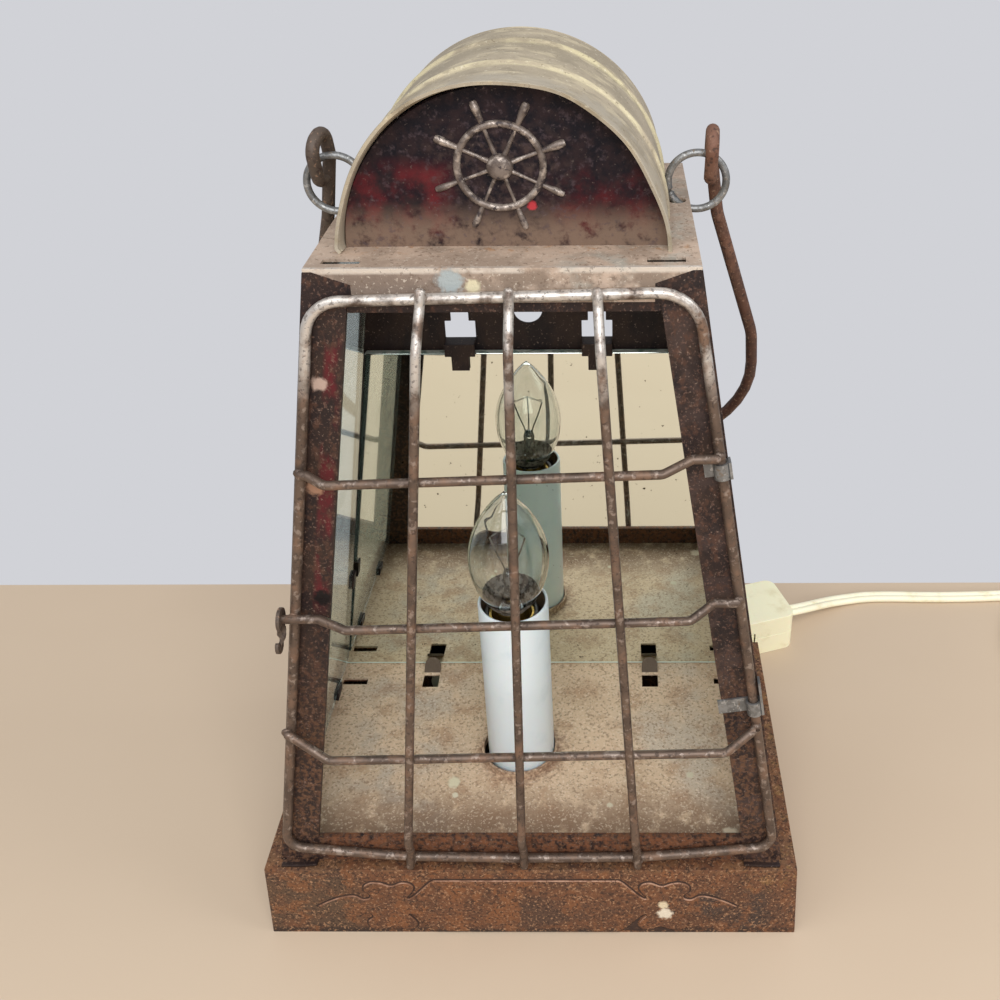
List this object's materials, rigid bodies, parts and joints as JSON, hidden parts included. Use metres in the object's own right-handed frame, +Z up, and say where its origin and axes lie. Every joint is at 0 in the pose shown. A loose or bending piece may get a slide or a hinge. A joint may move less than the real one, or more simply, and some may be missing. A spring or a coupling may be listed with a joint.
{
  "type": "portable lantern",
  "caption": "Tapered sheet steel lantern with a shallow base, hinged wire guard, half-barrel roof, wire bail in rings, back mirror, candle lamp and flat cord.",
  "frame": {"origin": "on the surface that the base stands on, under the middle of the base box", "axes": "+X to the right as seen from the open front, +Y to the back, +Z up"},
  "size_m": [0.3795, 0.1755, 0.2573],
  "materials": {
    "roof": "worn satin",
    "gable": "mottled satin",
    "body_steel": "rusty",
    "ledge": "worn satin",
    "base_steel": "rusty",
    "floor": "dusty matte",
    "mirror": "gloss",
    "pane": "gloss",
    "guard_wire": "worn satin",
    "bail_wire": "rusty",
    "galvanised": "dull",
    "sleeve": "satin",
    "socket_black": "matte",
    "brass": "satin",
    "bulb": "gloss",
    "stem": "gloss",
    "cord": "satin",
    "fitting": "satin"
  },
  "bodies": {
    "body": {"base_box": "base_steel", "bottom_cover": "base_steel", "floor_plate": "floor", "front_frame": "body_steel", "left_side_panel": "body_steel", "right_side_panel": "body_steel", "back_panel": "body_steel", "top_plate": "ledge", "roof_barrel": "roof", "front_gable": "gable", "rear_gable": "roof", "back_mirror": "mirror", "left_glass": "pane", "right_glass": "pane", "upper_hinge_clip": "galvanised", "lower_hinge_clip": "galvanised", "candle_sleeve": "sleeve", "lamp_socket": "socket_black", "socket_shell": "brass", "socket_strap": "galvanised", "threaded_nipple": "galvanised", "nipple_nuts": "galvanised", "bulb_glass": "bulb", "bulb_mount": "stem", "bulb_cap": "brass", "cord_bushing": "cord", "inner_lead": "cord", "cord_to_switch": "cord", "switch_lower_shell": "fitting", "switch_upper_shell": "fitting", "switch_screw": "galvanised", "cord_to_coil": "cord", "cord_coil": "cord", "cord_to_plug": "cord", "plug_body": "fitting", "plug_prongs": "brass"},
    "guard": {"guard_frame": "guard_wire", "guard_upright_wires": "guard_wire", "guard_cross_wires": "guard_wire"},
    "latch": {"latch_clasp": "bail_wire"},
    "left_ring": {"left_ring": "galvanised"},
    "right_ring": {"right_ring": "galvanised"},
    "bail": {"bail_handle": "bail_wire"},
    "thumb_wheel": {"switch_wheel": "fitting"}
  },
  "joints": [
    {"name": "guard_swing", "type": "hinge", "parent": "body", "child": "guard", "pos_m": [0.07303, -0.04761, 0.03512], "axis": [-0.1534, 0.0637, 0.9861], "range_deg": [0, 95]},
    {"name": "latch_swing", "type": "hinge", "parent": "guard", "child": "latch", "pos_m": [-0.06309, -0.04461, 0.12038], "axis": [1, 0, 0], "range_deg": [-90, 90]},
    {"name": "left_ring_turn", "type": "hinge", "parent": "body", "child": "left_ring", "pos_m": [-0.0486, 0.013, 0.2219], "axis": [0, 1, 0], "continuous": true},
    {"name": "right_ring_turn", "type": "hinge", "parent": "body", "child": "right_ring", "pos_m": [0.0486, 0.013, 0.2219], "axis": [0, 1, 0], "continuous": true},
    {"name": "bail_swing", "type": "hinge", "parent": "body", "child": "bail", "pos_m": [0, 0.013, 0.22882], "axis": [1, 0, 0], "range_deg": [0, 240]},
    {"name": "switch_wheel_turn", "type": "hinge", "parent": "body", "child": "thumb_wheel", "pos_m": [0.07448, 0.07649, 0.0085], "axis": [0, 0, 1], "continuous": true}
  ]
}
